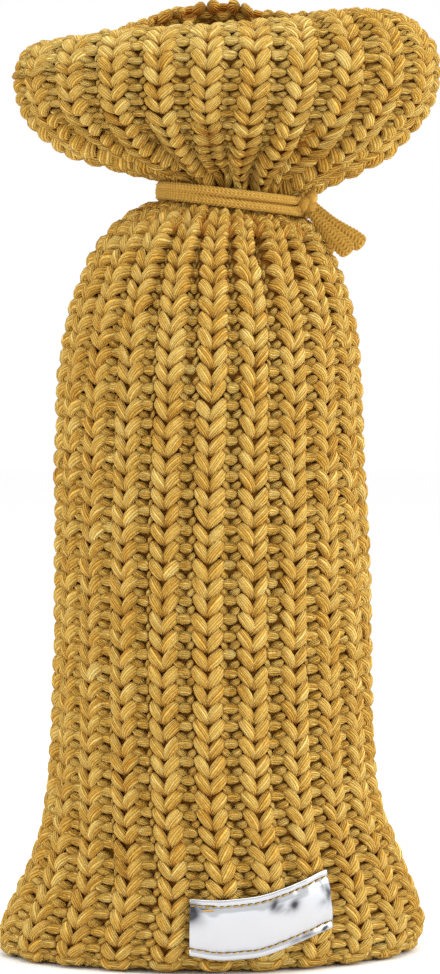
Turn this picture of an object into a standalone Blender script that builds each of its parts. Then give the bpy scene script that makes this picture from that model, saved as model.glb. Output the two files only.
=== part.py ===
"""A knitted cover for a round hot water bottle.

One tube of chunky one-by-one rib. It is closed by a straight seam under its base, whose two ends stand
out as corners. It stands full and round, is drawn in at the neck by a braided tie, and flares above the
tie into a wide ruffle whose rim curls in. A thin silver strip is sewn to the lower front.

Sizes in the tables are millimetres and degrees. +Z is up, -Y is the front and +X the viewer's right.
Angles run from +X towards +Y.
"""

import math

import bmesh
import bpy
import numpy as np

MM = 0.001  # metres in a millimetre
GAP = 0.3  # what two touching pieces keep between them

WALES = 22  # raised ribs of the knitting, all round
FRONT = 0.75  # share of the way round at which the front's middle rib lies

# Across one rib, from furrow to furrow: how far along it, and the share of its height.
RIB_SHAPE = (
    {"along": 0.00, "height": 0.00},
    {"along": 0.26, "height": 0.78},
    {"along": 0.50, "height": 1.00},
    {"along": 0.74, "height": 0.78},
)
INNER_SHAPE = (0.25, 0.75)  # the two points of a rib that the plain inner skin has

# The tube's outer reach, from the floor up to the widest part of the ruffle.
# half_width and half_depth reach to the ribs' crests. corner is how much of half_width the seam's two
# pulled-out corners take, boxy flattens its front and back, and yaw turns it. shift moves the section
# sideways, and tilt raises its right end. rib is the ribs' height and wall the thickness from their
# crests to the inner skin. turn moves the ribs round the section.
SECTION_COLUMNS = (
    "z", "half_width", "half_depth", "corner", "boxy", "yaw", "shift", "tilt", "rib", "wall", "turn",
)
SECTIONS = (
    (0.0, 63.6, 42.0, 10.0, 0.20, 4.0, -3.8, 0.0, 1.0, 0.0, -1.0),
    (1.6, 66.4, 45.0, 12.0, 0.20, 4.0, -3.6, 0.0, 2.0, 0.0, -1.0),
    (5.0, 68.2, 46.8, 14.0, 0.17, 4.0, -3.2, 0.0, 2.8, 0.0, -1.0),
    (9.5, 68.4, 48.2, 15.0, 0.13, 4.0, -2.4, 0.0, 3.4, 0.0, -1.0),
    (15.7, 66.2, 49.2, 14.8, 0.09, 4.0, -1.8, 0.0, 3.8, 9.0, -1.0),
    (22.0, 63.4, 49.8, 12.8, 0.06, 3.5, -1.2, 0.0, 4.0, 7.5, -1.2),
    (28.5, 60.6, 50.2, 10.0, 0.04, 3.0, -0.8, 0.0, 4.0, 7.0, -1.4),
    (35.0, 58.0, 50.5, 7.5, 0.02, 2.5, -1.1, 0.0, 4.0, 7.0, -1.6),
    (44.0, 55.0, 50.8, 4.6, 0.00, 1.5, -1.9, 0.0, 4.0, 7.0, -1.6),
    (56.0, 52.8, 50.9, 2.2, 0.00, 0.5, -2.5, 0.0, 4.0, 7.0, -1.0),
    (74.0, 51.6, 50.9, 0.8, 0.00, 0.0, -2.5, 0.0, 4.0, 7.0, -1.2),
    (100.0, 51.0, 50.7, 0.2, 0.00, 0.0, -2.2, 0.0, 4.0, 7.0, -2.2),
    (131.0, 50.6, 50.2, 0.0, 0.00, 0.0, -2.6, 0.0, 4.0, 7.0, -1.3),
    (160.0, 49.7, 49.4, 0.0, 0.00, 0.0, -3.3, 0.0, 4.0, 7.0, 0.2),
    (180.0, 49.2, 48.8, 0.0, 0.00, 0.0, -3.4, 0.0, 4.0, 7.0, 0.9),
    (195.0, 47.9, 47.5, 0.0, 0.00, 0.0, -3.1, 0.0, 4.0, 7.0, 1.0),
    (206.0, 45.6, 45.2, 0.0, 0.00, 0.0, -2.8, 0.0, 4.0, 7.0, 0.9),
    (215.0, 42.4, 41.8, 0.0, 0.00, 0.0, -2.6, -0.2, 4.0, 7.3, 0.5),
    (221.5, 39.8, 38.6, 0.0, 0.00, 0.0, -2.0, -0.6, 4.0, 8.0, 0.0),
    (227.4, 36.8, 34.8, 0.0, 0.00, 0.0, -0.8, -1.2, 4.0, 9.0, -1.0),
    (232.6, 33.0, 30.4, 0.0, 0.00, 0.0, 0.6, -2.2, 3.8, 9.8, -3.0),
    (236.4, 28.8, 26.4, 0.0, 0.00, 0.0, 1.5, -3.0, 3.2, 10.2, -5.0),
    (238.5, 23.2, 21.8, 0.0, 0.00, 0.0, 2.5, -3.2, 2.6, 10.4, -8.0),
    (243.9, 23.2, 21.8, 0.0, 0.00, 0.0, 2.8, -3.2, 2.6, 10.4, -8.0),
    (245.9, 29.4, 24.2, 0.0, 0.00, 0.0, 2.8, -2.6, 3.4, 10.2, -8.0),
    (248.4, 39.0, 26.8, 0.0, 0.00, 0.0, 2.6, -1.6, 3.8, 9.6, -7.6),
    (252.6, 50.0, 29.8, 0.0, 0.00, 0.0, 2.2, -0.8, 4.0, 8.5, -7.2),
    (259.0, 58.8, 32.6, 0.0, 0.00, 0.0, 1.4, -0.4, 4.0, 7.6, -7.0),
    (265.0, 64.4, 35.0, 0.0, 0.00, 0.0, 1.2, 0.0, 4.0, 7.0, -6.8),
    (271.5, 67.6, 36.4, 0.0, 0.00, 0.0, 1.8, 0.0, 4.0, 6.8, -6.8),
    (278.0, 68.6, 36.9, 0.0, 0.00, 0.0, 2.2, 0.0, 4.0, 6.6, -6.8),
)
CORNER_POWER = 5  # the higher, the sharper the seam's corners
TIE_SECTIONS = (22, 23)  # the two sections that the tie holds

# Above its widest part the ruffle's wall first rises straight, then bends inwards on a radius.
RIM_COLUMNS = ("angle", "rise", "radius", "bend")
RIM = (
    (0, 3.5, 18.5, 100),
    (35, 4.5, 19.0, 88),
    (65, 5.0, 20.0, 84),
    (77, 5.5, 20.5, 80),
    (90, 8.0, 22.0, 75),
    (100, 7.5, 21.5, 76),
    (112, 5.5, 20.5, 80),
    (132, 3.0, 15.8, 108),
    (155, 1.8, 12.4, 136),
    (180, 1.5, 11.0, 155),
    (215, 2.0, 11.5, 170),
    (250, 5.0, 10.5, 180),
    (270, 6.0, 10.2, 175),
    (290, 6.0, 12.5, 140),
    (310, 6.0, 15.5, 115),
    (335, 4.5, 17.6, 102),
)
RIM_STEPS = 6  # rings of the bend
EDGE_RIBS = (3.4, 2.6, 1.6)  # the ribs sink towards the bound-off edge, over its last three rings

# The drawn-in cloth's deep folds: troughs that run up and down through the neck. angle is where, deep
# how far it goes in at most, wide its half width in degrees, and low and high the heights it fades at.
FOLD_COLUMNS = ("angle", "deep", "wide", "low", "high")
FOLDS = (
    (262, 4.5, 11, 243, 256),
    (286, 2.6, 8, 238, 252),
    (233, 3.0, 10, 242, 255),
    (316, 3.4, 11, 241, 256),
    (205, 2.0, 10, 240, 254),
    (345, 2.0, 10, 240, 254),
    (22, 2.4, 11, 240, 254),
    (58, 3.4, 11, 240, 256),
    (98, 3.8, 12, 240, 257),
    (134, 3.0, 11, 240, 256),
    (170, 1.6, 10, 241, 254),
    (272, 2.4, 8, 224, 240),
    (302, 2.6, 9, 222, 240),
    (246, 2.2, 9, 226, 240),
    (120, 2.4, 10, 224, 240),
    (66, 2.4, 10, 224, 240),
)
FOLD_FADE = 7.0  # height over which a fold fades out past its low and high ends
THINNEST = 2.4  # what is left of the wall under the deepest furrow

FLOOR_THICKNESS = 7.0  # knitting under the bottle
INNER_FLOOR_SHRINK = 0.93  # the inside's floor is this much smaller than the wall above it
FIRST_INNER = 4  # the lowest section with an inner skin

# The tie: a braided cord laid round the neck, a knot at its right and two cut ends.
# A run's z is its middle height, slope how far its right end lies above that, and lift how far it
# stands off the crests past the gap.
CORD_RADIUS = 1.4
CORD_SIDES = 8
RUN_POINTS = 40
RUN_COLUMNS = ("z", "slope", "lift")
RUNS = (
    (242.5, -2.9, 0.1),
    (239.7, -2.9, 0.1),
)
KNOT_AT = (27.4, -8.6, 238.0)
KNOT_SIZE = (2.9, 3.0, 3.7)
END_COLUMNS = ("root", "tip", "bow")
ENDS = (
    ((28.4, -10.2, 235.6), (39.8, -15.2, 224.0), 0.5),
    ((30.2, -7.6, 237.4), (44.0, -11.6, 226.6), 0.7),
)
END_POINTS = 8
TIP_FLARE = 1.35

# The strip: a thin band bent round the ribs' crests at the lower right of the front.
# along is the share of its length from the left, low and high its lower and upper edge.
STRIP_COLUMNS = ("along", "low", "high")
STRIP_EDGES = (
    (0.00, 6.4, 24.2),
    (0.25, 5.2, 23.8),
    (0.50, 6.6, 25.0),
    (0.75, 10.4, 28.2),
    (1.00, 15.0, 32.4),
)
STRIP_FROM = -9.2
STRIP_TO = 34.6
STRIP_THICKNESS = 1.0
STRIP_STEPS = 16
STRIP_ROWS = 3
STRIP_LIFT = 0.4  # clear of the ribs' crests

MATERIALS = {
    "yarn": {"colour": (0.55, 0.33, 0.07, 1.0), "roughness": 0.92, "metallic": 0.0},
    "cord": {"colour": (0.50, 0.29, 0.06, 1.0), "roughness": 0.85, "metallic": 0.0},
    "silver": {"colour": (0.86, 0.86, 0.88, 1.0), "roughness": 0.18, "metallic": 0.9},
}


def rows(table, columns):
    """The table as one array for each named column."""
    return {name: np.array([row[i] for row in table], float) for i, name in enumerate(columns)}


def fade(x):
    """Smooth step from 0 at 0 to 1 at 1."""
    x = np.clip(x, 0.0, 1.0)
    return x * x * (3.0 - 2.0 * x)


def closed_outline(width, depth, corner, boxy):
    """Points and running length of one section's outline, starting at +X."""
    turn = np.linspace(0.0, 2.0 * math.pi, 721)
    across = np.cos(turn)
    x = (width - corner) * across + corner * np.sign(across) * np.abs(across) ** CORNER_POWER
    up = np.sin(turn)
    y = depth * np.sign(up) * np.abs(up) ** (1.0 - boxy)
    step = np.hypot(np.diff(x), np.diff(y))
    return x, y, np.concatenate([[0.0], np.cumsum(step)])


def around(width, depth, corner, boxy, yaw, shares):
    """Points at shares of the way round a section, so that every rib gets an equal part of it."""
    x, y, length = closed_outline(width, depth, corner, boxy)
    at = (shares % 1.0) * length[-1]
    x, y = np.interp(at, length, x), np.interp(at, length, y)
    cos, sin = math.cos(math.radians(yaw)), math.sin(math.radians(yaw))
    return x * cos - y * sin, x * sin + y * cos


def rib_shares(points_in_rib):
    """Shares of the way round of all ribs' points. The front's middle rib has its crest at FRONT."""
    return np.array([FRONT + (rib - 0.5 + along) / WALES for rib in range(WALES) for along in points_in_rib])


def envelope(shares, with_corners=True):
    """The outer reach at the ribs' crests: an array of sections by points by x, y, z."""
    table = rows(SECTIONS, SECTION_COLUMNS)
    rings = []
    for section in (dict(zip(SECTION_COLUMNS, row)) for row in SECTIONS):
        corner = section["corner"] if with_corners else 0.0
        width = section["half_width"] - (0.0 if with_corners else 0.8 * section["corner"])
        turned = shares + section["turn"] / 360.0
        depth, boxy = section["half_depth"], section["boxy"]
        x, y = around(width, depth, corner, boxy, section["yaw"], turned)
        z = section["z"] + section["tilt"] * x / section["half_width"]
        rings.append(np.column_stack([x + section["shift"], y, z]))
    return np.array(rings + rim_rings(rings[-1], table))


def rim_rings(widest, table):
    """The ruffle's rings above its widest one: a straight rise, then the bend."""
    rim = rows(RIM, RIM_COLUMNS)
    out = outward(widest, -1, table)
    angle = np.degrees(np.arctan2(out[:, 1], out[:, 0])) % 360.0
    rise, radius, bend = (np.interp(angle, rim["angle"], rim[name], period=360.0) for name in RIM_COLUMNS[1:])
    bent = np.radians(bend)
    rings = []
    for step in range(RIM_STEPS + 1):
        part = bent * step / RIM_STEPS
        ring = widest.copy()
        ring[:, :2] -= out * (radius * (1.0 - np.cos(part)))[:, None]
        ring[:, 2] += rise + radius * np.sin(part)
        rings.append(ring)
    return rings


def outward(ring, i, table):
    """Level unit vectors that spread evenly round section i, as the angle of its ellipse does."""
    wide = np.ptp(ring[:, 0])
    deep = np.ptp(ring[:, 1])
    x = (ring[:, 0] - table["shift"][i]) / wide
    y = ring[:, 1] / deep
    return np.column_stack([x, y]) / np.hypot(x, y)[:, None]


def surface_normals(rings):
    """Outward unit normals of a grid of rings, closed round each ring."""
    along = np.gradient(rings, axis=0)
    across = np.roll(rings, -1, axis=1) - np.roll(rings, 1, axis=1)
    normal = np.cross(across, along)
    return normal / np.linalg.norm(normal, axis=2)[:, :, None]


def profile_normals(rings):
    """Outward unit normals of each upright profile alone, which never cross round the tight ends."""
    table = rows(SECTIONS, SECTION_COLUMNS)
    along = np.gradient(rings, axis=0)
    normal = np.empty(rings.shape)
    for i, ring in enumerate(rings):
        out = outward(ring, min(i, len(SECTIONS) - 1), table)
        normal[i, :, :2] = out * along[i, :, 2:]
        normal[i, :, 2] = -(along[i, :, :2] * out).sum(axis=1)
    return normal / np.linalg.norm(normal, axis=2)[:, :, None]


def column(name):
    """One column of SECTIONS, carried on unchanged through the rim but for the edge's lower ribs."""
    values = rows(SECTIONS, SECTION_COLUMNS)[name]
    values = np.concatenate([values, np.full(RIM_STEPS + 1, values[-1])])
    if name == "rib":
        values[-len(EDGE_RIBS):] = EDGE_RIBS
    return values


def fold_depth(rings):
    """How far the drawn-in cloth's folds push each point in."""
    shift = column("shift")[:, None]
    angle = np.degrees(np.arctan2(rings[:, :, 1], rings[:, :, 0] - shift)) % 360.0
    height = rings[:, :, 2]
    depth = np.zeros(angle.shape)
    for row in FOLDS:
        fold = dict(zip(FOLD_COLUMNS, row))
        away = np.abs((angle - fold["angle"] + 180.0) % 360.0 - 180.0) / fold["wide"]
        up = fade((height - fold["low"]) / FOLD_FADE + 1.0) * fade((fold["high"] - height) / FOLD_FADE + 1.0)
        depth = np.maximum(depth, fold["deep"] * up * fade(1.0 - away))
    depth[list(TIE_SECTIONS)] *= 0.3
    return depth


def outer_skin():
    """Rings of the ribbed outside, from the floor up over the rim to its edge."""
    along = [point["along"] for point in RIB_SHAPE]
    height = np.array([point["height"] for point in RIB_SHAPE] * WALES)
    rings = envelope(rib_shares(along))
    sink = column("rib")[:, None] * (1.0 - height)[None, :] + fold_depth(rings)
    sink[FIRST_INNER:] = np.minimum(sink[FIRST_INNER:], column("wall")[FIRST_INNER:, None] - THINNEST)
    sink[0] = 0.0
    normal = surface_normals(rings)
    normal[len(SECTIONS) - 1:] = profile_normals(rings)[len(SECTIONS) - 1:]
    moved = rings - normal * sink[:, :, None]
    moved[0, :, 2] = 0.0
    return moved


def inner_skin():
    """Rings of the plain inside, from the rim's edge down to the floor inside."""
    rings = envelope(rib_shares(INNER_SHAPE), with_corners=False)
    inside = list(rings - profile_normals(rings) * column("wall")[:, None, None])
    picked = inside[FIRST_INNER:][::-1]
    floor = picked[-1].copy()
    middle = floor[:, :2].mean(axis=0)
    floor[:, :2] = middle + (floor[:, :2] - middle) * INNER_FLOOR_SHRINK
    floor[:, 2] = FLOOR_THICKNESS
    return picked + [floor]


def add_ring(mesh, ring):
    """One ring's vertices, in metres."""
    return [mesh.verts.new([value * MM for value in point]) for point in ring]


def join_rings(mesh, low, high):
    """A band of quads between two rings of as many points each."""
    count = len(low)
    for i in range(count):
        j = (i + 1) % count
        mesh.faces.new((low[i], low[j], high[j], high[i]))


def join_uneven(mesh, low, high):
    """A band of triangles between rings whose counts differ, rib by rib."""
    for rib in range(WALES):
        a = [low[(rib * len(RIB_SHAPE) + i) % len(low)] for i in range(len(RIB_SHAPE) + 1)]
        b = [high[(rib * len(INNER_SHAPE) + i) % len(high)] for i in range(len(INNER_SHAPE) + 1)]
        i = j = 0
        while i < len(a) - 1 or j < len(b) - 1:
            if j * (len(a) - 1) < i * (len(b) - 1) or i == len(a) - 1:
                mesh.faces.new((a[i], b[j + 1], b[j]))
                j += 1
            else:
                mesh.faces.new((a[i], a[i + 1], b[j]))
                i += 1


def make_material(name):
    """A plain Principled material."""
    facts = MATERIALS[name]
    material = bpy.data.materials.new(name)
    material.use_nodes = True
    shader = material.node_tree.nodes["Principled BSDF"]
    shader.inputs["Base Color"].default_value = facts["colour"]
    shader.inputs["Roughness"].default_value = facts["roughness"]
    shader.inputs["Metallic"].default_value = facts["metallic"]
    return material


def make_object(name, mesh, material):
    """Triangulates the bmesh and links it to the scene as one smooth-shaded object."""
    bmesh.ops.triangulate(mesh, faces=mesh.faces[:])
    bmesh.ops.recalc_face_normals(mesh, faces=mesh.faces[:])
    data = bpy.data.meshes.new(name)
    mesh.to_mesh(data)
    mesh.free()
    data.materials.append(make_material(material))
    data.shade_smooth()
    made = bpy.data.objects.new(name, data)
    bpy.context.scene.collection.objects.link(made)
    return made


def make_cover():
    """The knitted tube: base, body, neck and ruffle in one hollow solid."""
    mesh = bmesh.new()
    outer = [add_ring(mesh, ring) for ring in outer_skin()]
    inner = [add_ring(mesh, ring) for ring in inner_skin()]
    mesh.faces.new(outer[0][::-1])
    for low, high in zip(outer, outer[1:]):
        join_rings(mesh, low, high)
    join_uneven(mesh, outer[-1], inner[0])
    for low, high in zip(inner, inner[1:]):
        join_rings(mesh, low, high)
    mesh.faces.new(inner[-1])
    return make_object("knit_cover", mesh, "yarn")


def tube(mesh, path, radii, closed):
    """A round tube along a path, closed on itself or with flat ends."""
    count = len(path)
    rings = []
    for i in range(count):
        before = path[i - 1] if closed or i else path[i]
        after = path[(i + 1) % count] if closed or i < count - 1 else path[i]
        ahead = (after - before) / np.linalg.norm(after - before)
        side = np.cross(ahead, (0.0, 0.0, 1.0))
        side /= np.linalg.norm(side)
        up = np.cross(side, ahead)
        angles = np.linspace(0.0, 2.0 * math.pi, CORD_SIDES, endpoint=False)
        ring = path[i] + radii[i] * (np.outer(np.cos(angles), side) + np.outer(np.sin(angles), up))
        rings.append(add_ring(mesh, ring))
    for low, high in zip(rings, rings[1:]):
        join_rings(mesh, low, high)
    if closed:
        join_rings(mesh, rings[-1], rings[0])
    else:
        mesh.faces.new(rings[0][::-1])
        mesh.faces.new(rings[-1])


def run_path(run):
    """One turn of the tie round the neck, clear of the ribs' crests."""
    table = rows(SECTIONS, SECTION_COLUMNS)
    i = TIE_SECTIONS[0]
    away = GAP + CORD_RADIUS + run["lift"]
    angles = np.linspace(0.0, 2.0 * math.pi, RUN_POINTS, endpoint=False)
    width = table["half_width"][i] + away
    depth = table["half_depth"][i] + away
    shift = np.interp(run["z"], table["z"], table["shift"])
    x = shift + width * np.cos(angles)
    y = depth * np.sin(angles)
    z = run["z"] + run["slope"] * np.cos(angles)
    return np.column_stack([x, y, z])


def end_path(end):
    """One cut end of the tie, from inside the knot to its tip, bowed a little upwards."""
    start, tip = np.array(end["root"]), np.array(end["tip"])
    share = np.linspace(0.0, 1.0, END_POINTS)[:, None]
    path = start + (tip - start) * share
    path[:, 2] += end["bow"] * np.sin(math.pi * share[:, 0])
    return path


def solid_piece(name, build):
    """An object from one closed shape, for use in a union."""
    mesh = bmesh.new()
    build(mesh)
    return make_object(name, mesh, "cord")


def add_knot(mesh):
    """The knot: a rounded lump."""
    made = bmesh.ops.create_icosphere(mesh, subdivisions=2, radius=MM)
    for vert in made["verts"]:
        vert.co = [(at + size * part / MM) * MM for at, size, part in zip(KNOT_AT, KNOT_SIZE, vert.co)]


def make_tie():
    """The neck's tie: its turns, its knot and its two ends as one solid."""
    pieces = []
    for row in RUNS:
        run = dict(zip(RUN_COLUMNS, row))
        path = run_path(run)
        radii = np.full(len(path), CORD_RADIUS)
        pieces.append(solid_piece("run", lambda mesh: tube(mesh, path, radii, closed=True)))
    pieces.append(solid_piece("knot", add_knot))
    for row in ENDS:
        path = end_path(dict(zip(END_COLUMNS, row)))
        radii = CORD_RADIUS * np.array([1.0] * (END_POINTS - 2) + [1.08, TIP_FLARE])
        pieces.append(solid_piece("end", lambda mesh: tube(mesh, path, radii, closed=False)))
    return united("tie_cord", pieces)


def united(name, pieces):
    """The union of the pieces as one object."""
    whole = pieces[0]
    for piece in pieces[1:]:
        cut = whole.modifiers.new("join", "BOOLEAN")
        cut.operation = "UNION"
        cut.solver = "EXACT"
        cut.object = piece
        bpy.context.view_layer.update()
        data = bpy.data.meshes.new_from_object(whole.evaluated_get(bpy.context.evaluated_depsgraph_get()))
        whole.modifiers.clear()
        whole.data = data
        bpy.data.objects.remove(piece)
    whole.name = name
    return whole


def reach_at(x, height):
    """The front's outer reach, its y, at one place across and up the base."""
    shares = np.linspace(0.5, 1.0, 241)
    rings = envelope(shares)
    level = np.array([np.interp(height, rings[:12, k, 2], np.arange(12)) for k in range(len(shares))])
    low = np.floor(level).astype(int)
    part = (level - low)[:, None]
    points = rings[low, np.arange(len(shares))] * (1 - part) + rings[low + 1, np.arange(len(shares))] * part
    return np.interp(x, points[:, 0], points[:, 1])


def make_strip():
    """The silver strip, bent round the front of the base."""
    table = rows(STRIP_EDGES, STRIP_COLUMNS)
    share = np.linspace(0.0, 1.0, STRIP_STEPS + 1)
    x = STRIP_FROM + (STRIP_TO - STRIP_FROM) * share
    low = np.interp(share, table["along"], table["low"])
    high = np.interp(share, table["along"], table["high"])
    mesh = bmesh.new()
    back = []
    for row in range(STRIP_ROWS + 1):
        z = low + (high - low) * row / STRIP_ROWS
        y = np.array([reach_at(a, b) for a, b in zip(x, z)]) - STRIP_LIFT
        back.append(np.column_stack([x, y, z]))
    back = np.array(back)
    across = np.gradient(back, axis=1)
    up = np.gradient(back, axis=0)
    out = np.cross(across, up)
    out /= np.linalg.norm(out, axis=2)[:, :, None]
    front = back + out * STRIP_THICKNESS
    sheets = [[add_ring(mesh, row) for row in sheet] for sheet in (back, front)]
    for i in range(STRIP_ROWS):
        for j in range(STRIP_STEPS):
            for sheet in sheets:
                mesh.faces.new((sheet[i][j], sheet[i][j + 1], sheet[i + 1][j + 1], sheet[i + 1][j]))
    for edge in (0, STRIP_ROWS):
        join_edge(mesh, [sheet[edge] for sheet in sheets])
    for edge in (0, STRIP_STEPS):
        join_edge(mesh, [[row[edge] for row in sheet] for sheet in sheets])
    return make_object("label_strip", mesh, "silver")


def join_edge(mesh, lines):
    """Closes a thin sheet along one edge of its back and front."""
    for a, b, c, d in zip(lines[0], lines[0][1:], lines[1][1:], lines[1]):
        mesh.faces.new((a, b, c, d))


def main():
    for old in list(bpy.data.objects):
        bpy.data.objects.remove(old)
    make_cover()
    make_tie()
    make_strip()


main()
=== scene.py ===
"""The looks of a knitted cover for a round hot water bottle.

Chunky one-by-one rib, made stitch by stitch on a ground cloth coloured dark as painted shade in the gaps: 22
columns of V stitches with purl bumps in the furrows between them, a braided tie at the neck, and a bare
silver strip sewn to the lower front. Sizes in the tables are millimetres and degrees, +Z up, -Y the front, +X
the viewer's right.
"""

import math

import bpy
import numpy as np
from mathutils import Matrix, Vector


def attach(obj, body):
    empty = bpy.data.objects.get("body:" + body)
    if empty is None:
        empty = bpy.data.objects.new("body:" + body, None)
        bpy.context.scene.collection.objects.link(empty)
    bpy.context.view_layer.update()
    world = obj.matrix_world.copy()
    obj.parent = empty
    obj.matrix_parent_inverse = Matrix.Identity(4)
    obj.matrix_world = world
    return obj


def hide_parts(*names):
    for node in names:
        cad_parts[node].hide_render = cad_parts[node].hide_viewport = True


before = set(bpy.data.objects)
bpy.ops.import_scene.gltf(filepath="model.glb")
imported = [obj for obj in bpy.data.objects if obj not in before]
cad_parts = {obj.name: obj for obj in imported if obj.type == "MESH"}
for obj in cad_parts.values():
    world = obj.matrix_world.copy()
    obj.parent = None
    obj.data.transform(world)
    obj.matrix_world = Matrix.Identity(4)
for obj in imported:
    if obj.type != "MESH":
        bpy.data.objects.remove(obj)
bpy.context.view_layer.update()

MM = 0.001  # metres in a millimetre
WALES = 22  # raised columns of the knitting, all round
FRONT = 0.75  # share of the way round at which the front's middle column lies
WALE_MM = 14.2  # a column's pitch, where the cloth lies as it was knitted
ROW_MM = 5.45  # a row's height
COLUMN_HALF = 4.9  # half a V column's width
HUG = 0.53  # the share of the pitch that half a column takes where the cloth is drawn in
SPREAD_POWER = 0.3  # and where it is stretched, the stitches widen by this power of the pitch's growth

# The tube's outer reach at the columns' crests, from the floor up to the widest part of the ruffle.
SECTION_COLUMNS = (
    "z", "half_width", "half_depth", "corner", "boxy", "yaw", "shift", "tilt", "rib", "wall", "turn",
)
SECTIONS = (
    (0.0, 63.6, 42.0, 10.0, 0.20, 4.0, -3.8, 0.0, 1.0, 7.0, -1.0),
    (1.6, 66.4, 45.0, 12.0, 0.20, 4.0, -3.6, 0.0, 2.0, 8.0, -1.0),
    (5.0, 68.2, 46.8, 14.0, 0.17, 4.0, -3.2, 0.0, 2.8, 9.0, -1.0),
    (9.5, 68.4, 48.2, 15.0, 0.13, 4.0, -2.4, 0.0, 3.4, 9.0, -1.0),
    (15.7, 66.2, 49.2, 14.8, 0.09, 4.0, -1.8, 0.0, 3.8, 9.0, -1.0),
    (22.0, 63.4, 49.8, 12.8, 0.06, 3.5, -1.2, 0.0, 4.0, 7.5, -1.2),
    (28.5, 60.6, 50.2, 10.0, 0.04, 3.0, -0.8, 0.0, 4.0, 7.0, -1.4),
    (35.0, 58.0, 50.5, 7.5, 0.02, 2.5, -1.1, 0.0, 4.0, 7.0, -1.6),
    (44.0, 55.0, 50.8, 4.6, 0.00, 1.5, -1.9, 0.0, 4.0, 7.0, -1.6),
    (56.0, 52.8, 50.9, 2.2, 0.00, 0.5, -2.5, 0.0, 4.0, 7.0, -1.0),
    (74.0, 51.6, 50.9, 0.8, 0.00, 0.0, -2.5, 0.0, 4.0, 7.0, -1.2),
    (100.0, 51.0, 50.7, 0.2, 0.00, 0.0, -2.2, 0.0, 4.0, 7.0, -2.2),
    (131.0, 50.6, 50.2, 0.0, 0.00, 0.0, -2.6, 0.0, 4.0, 7.0, -1.3),
    (160.0, 49.7, 49.4, 0.0, 0.00, 0.0, -3.3, 0.0, 4.0, 7.0, 0.2),
    (180.0, 49.2, 48.8, 0.0, 0.00, 0.0, -3.4, 0.0, 4.0, 7.0, 0.9),
    (195.0, 47.9, 47.5, 0.0, 0.00, 0.0, -3.1, 0.0, 4.0, 7.0, 1.0),
    (206.0, 45.6, 45.2, 0.0, 0.00, 0.0, -2.8, 0.0, 4.0, 7.0, 0.9),
    (215.0, 42.4, 41.8, 0.0, 0.00, 0.0, -2.6, -0.2, 4.0, 7.3, 0.5),
    (221.5, 39.8, 38.6, 0.0, 0.00, 0.0, -2.0, -0.6, 4.0, 8.0, 0.0),
    (227.4, 36.8, 34.8, 0.0, 0.00, 0.0, -0.8, -1.2, 4.0, 9.0, -1.0),
    (232.2, 32.8, 30.6, 0.0, 0.00, 0.0, 1.0, -2.2, 3.8, 9.8, -3.0),
    (235.2, 28.8, 26.8, 0.0, 0.00, 0.0, 2.3, -3.0, 3.2, 10.2, -5.0),
    (236.7, 22.0, 22.0, 0.0, 0.00, 0.0, 3.8, -3.2, 2.6, 10.4, -8.0),
    (242.3, 21.8, 21.8, 0.0, 0.00, 0.0, 3.9, -3.2, 2.6, 10.4, -8.0),
    (244.7, 30.6, 24.4, 0.0, 0.00, 0.0, 2.2, -2.6, 3.4, 10.2, -8.0),
    (248.2, 40.6, 27.0, 0.0, 0.00, 0.0, 1.8, -1.6, 3.8, 9.6, -7.6),
    (252.4, 51.2, 30.0, 0.0, 0.00, 0.0, 1.6, -0.8, 4.0, 8.5, -7.2),
    (259.0, 58.8, 32.6, 0.0, 0.00, 0.0, 1.4, -0.4, 4.0, 7.6, -7.0),
    (265.0, 64.4, 35.0, 0.0, 0.00, 0.0, 1.2, 0.0, 4.0, 7.0, -6.8),
    (271.5, 67.6, 36.4, 0.0, 0.00, 0.0, 1.8, 0.0, 4.0, 6.8, -6.8),
    (278.0, 68.6, 36.9, 0.0, 0.00, 0.0, 2.2, 0.0, 4.0, 6.6, -6.8),
)
CORNER_POWER = 5  # the higher, the sharper the seam's corners
SECTION_SAMPLES = 721
TIE_SECTION = 22  # the lower of the two sections that the tie holds

# Above its widest part the ruffle's wall first rises straight, then bends inwards on a radius.
RIM_COLUMNS = ("angle", "rise", "radius", "bend")
RIM = (
    (0, 3.5, 18.5, 100),
    (35, 4.5, 19.0, 88),
    (65, 5.0, 20.0, 84),
    (77, 5.5, 20.5, 80),
    (90, 8.0, 22.0, 75),
    (100, 7.5, 21.5, 76),
    (112, 5.5, 20.5, 80),
    (132, 3.0, 15.8, 108),
    (155, 1.8, 12.4, 136),
    (180, 1.5, 11.0, 155),
    (215, 2.0, 11.5, 170),
    (250, 5.0, 10.5, 180),
    (270, 6.0, 10.2, 175),
    (290, 6.0, 12.5, 140),
    (310, 6.0, 15.5, 115),
    (335, 4.5, 17.6, 102),
)
RIM_STEPS = 6

# Under the base the cloth runs in, flat, to the straight seam across its middle.
UNDER_STEPS = 6
SEAM_RISE = 1.2  # how far the seam lies above the floor
SEAM_SHARE = 0.96  # the seam's length as a share of the base's
UNDER_RIB, UNDER_WALL = 0.8, 5.0  # the ribs' height and the wall's thickness there

# The drawn-in cloth's deep folds, troughs that run up and down through the neck.
FOLD_COLUMNS = ("angle", "deep", "wide", "low", "high")
FOLDS = (
    (262, 4.5, 11, 243, 256),
    (286, 2.6, 8, 238, 252),
    (233, 3.0, 10, 242, 255),
    (316, 3.4, 11, 241, 256),
    (205, 2.0, 10, 240, 254),
    (345, 2.0, 10, 240, 254),
    (22, 2.4, 11, 240, 254),
    (58, 3.4, 11, 240, 256),
    (98, 3.8, 12, 240, 257),
    (134, 3.0, 11, 240, 256),
    (170, 1.6, 10, 241, 254),
    (292, 3.4, 6, 223, 231),
    (322, 2.2, 8, 224, 233),
    (250, 1.6, 8, 226, 232),
    (120, 2.4, 10, 224, 240),
    (66, 2.4, 10, 224, 240),
)
FOLD_FADE = 7.0  # a fold begins and ends over this height

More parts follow.
